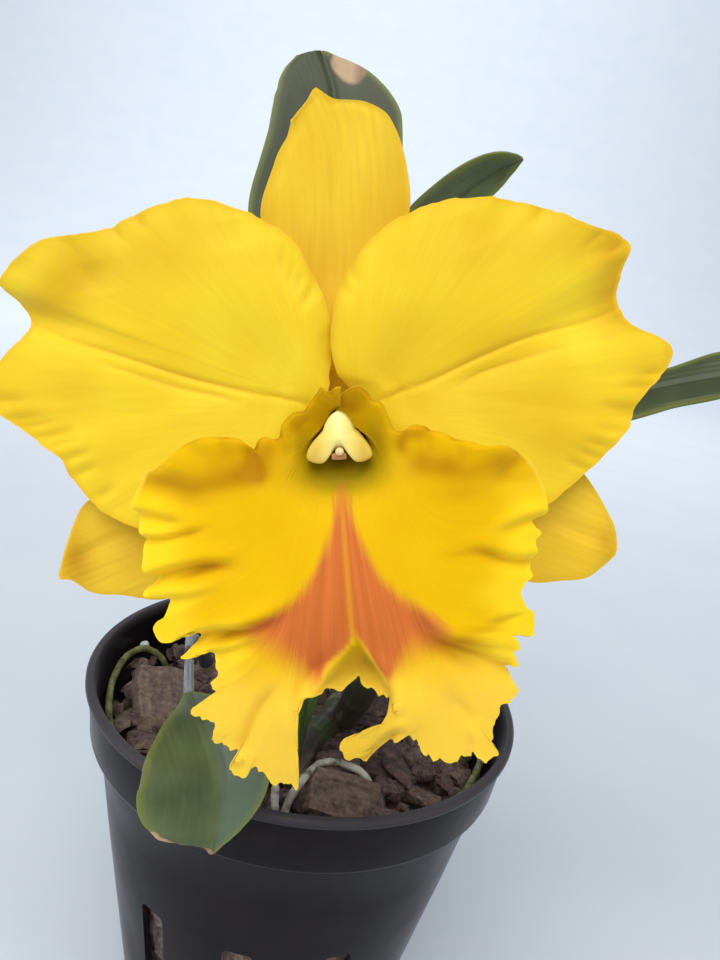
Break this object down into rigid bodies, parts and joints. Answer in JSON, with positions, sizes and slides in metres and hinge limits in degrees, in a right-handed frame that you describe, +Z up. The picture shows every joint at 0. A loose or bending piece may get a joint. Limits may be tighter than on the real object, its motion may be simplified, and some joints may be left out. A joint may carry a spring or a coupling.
{
  "type": "cattleya orchid in a pot",
  "caption": "Flowering cattleya orchid with a frilled golden-yellow bloom, strap leaves and swollen stems, growing in bark in a round black plastic pot.",
  "frame": {"origin": "middle of the pot's flat underside, where it stands", "axes": "+Z up along the pot's axis, the flower faces -Y, +X to the right as one faces the flower"},
  "size_m": [0.2347, 0.1939, 0.3393],
  "materials": {
    "pot_plastic": "moulded, satin",
    "bark": "chipped, matt",
    "leaf": "waxy",
    "bulb": "smooth, ribbed with age",
    "cane": "papery, pale",
    "rhizome": "woody",
    "root_green": "spongy skin, damp",
    "root_white": "spongy skin, dry",
    "fertiliser": "coated bead",
    "stalk": "smooth",
    "sheath": "papery",
    "sepal": "soft, matt",
    "petal": "soft, matt",
    "lip": "soft, velvety",
    "column": "waxy",
    "anther": "waxy"
  },
  "bodies": {
    "root": {"pot": "pot_plastic", "rhizome": "rhizome", "pseudobulb_lead": "bulb", "pseudobulb_second": "bulb", "pseudobulb_third": "bulb", "pseudobulb_old": "bulb", "cane": "cane", "root_left_wall": "root_green", "root_right_wall": "root_green", "root_front": "root_white", "root_stub": "root_white", "fertiliser_bead": "fertiliser", "bark_mix": "bark", "leaf_back": "leaf", "leaf_upper_right": "leaf", "leaf_right": "leaf", "leaf_front_left": "leaf", "flower_stem": "stalk", "flower_sheath": "sheath", "ovary": "stalk", "dorsal_sepal": "sepal", "lateral_sepal_left": "sepal", "lateral_sepal_right": "sepal", "petal_left": "petal", "petal_right": "petal", "lip": "lip", "column": "column", "anther_cap": "anther"}
  },
  "joints": []
}
